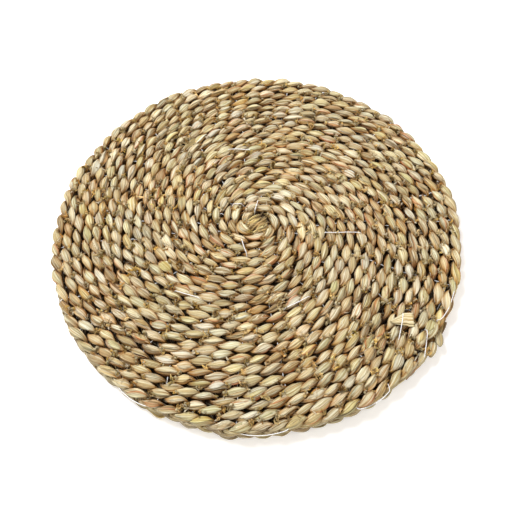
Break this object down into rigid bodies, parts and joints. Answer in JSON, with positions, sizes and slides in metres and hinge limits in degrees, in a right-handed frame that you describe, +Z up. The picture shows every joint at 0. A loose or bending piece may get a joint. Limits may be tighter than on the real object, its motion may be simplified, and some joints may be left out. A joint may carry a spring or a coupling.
{
  "type": "chair seat pad",
  "caption": "Round flat seat pad: a three-strand braid of dried husk on edge, coiled in a spiral and sewn across with white thread.",
  "frame": {"origin": "on the resting plane, under the start of the spiral at the pad's centre", "axes": "+Z up, out of the pad's top; +X towards the right as seen from the front"},
  "size_m": [0.3807, 0.3786, 0.0207],
  "materials": {
    "husk_strand_a": "matte",
    "husk_strand_b": "matte",
    "husk_strand_c": "matte",
    "husk_ends": "matte",
    "husk_strip": "matte",
    "thread": "matte"
  },
  "bodies": {
    "root": {"braid_tail": "husk_ends", "folded_strip": "husk_strip", "husk_strand_a_01": "husk_strand_a", "husk_strand_a_02": "husk_strand_a", "husk_strand_a_03": "husk_strand_a", "husk_strand_a_04": "husk_strand_a", "husk_strand_a_05": "husk_strand_a", "husk_strand_a_06": "husk_strand_a", "husk_strand_a_07": "husk_strand_a", "husk_strand_a_08": "husk_strand_a", "husk_strand_a_09": "husk_strand_a", "husk_strand_a_10": "husk_strand_a", "husk_strand_a_11": "husk_strand_a", "husk_strand_b_01": "husk_strand_b", "husk_strand_b_02": "husk_strand_b", "husk_strand_b_03": "husk_strand_b", "husk_strand_b_04": "husk_strand_b", "husk_strand_b_05": "husk_strand_b", "husk_strand_b_06": "husk_strand_b", "husk_strand_b_07": "husk_strand_b", "husk_strand_b_08": "husk_strand_b", "husk_strand_b_09": "husk_strand_b", "husk_strand_b_10": "husk_strand_b", "husk_strand_b_11": "husk_strand_b", "husk_strand_c_01": "husk_strand_c", "husk_strand_c_02": "husk_strand_c", "husk_strand_c_03": "husk_strand_c", "husk_strand_c_04": "husk_strand_c", "husk_strand_c_05": "husk_strand_c", "husk_strand_c_06": "husk_strand_c", "husk_strand_c_07": "husk_strand_c", "husk_strand_c_08": "husk_strand_c", "husk_strand_c_09": "husk_strand_c", "husk_strand_c_10": "husk_strand_c", "husk_strand_c_11": "husk_strand_c", "sewing_stitch_01": "thread", "sewing_stitch_02": "thread", "sewing_stitch_03": "thread", "sewing_stitch_04": "thread", "sewing_stitch_05": "thread", "sewing_stitch_06": "thread", "sewing_stitch_07": "thread", "sewing_stitch_08": "thread", "sewing_stitch_09": "thread", "sewing_stitch_10": "thread", "sewing_stitch_11": "thread", "sewing_stitch_12": "thread", "start_knot": "husk_ends", "strip_stitch": "thread", "surface_floats": "thread", "tail_stitch": "thread"}
  },
  "joints": []
}
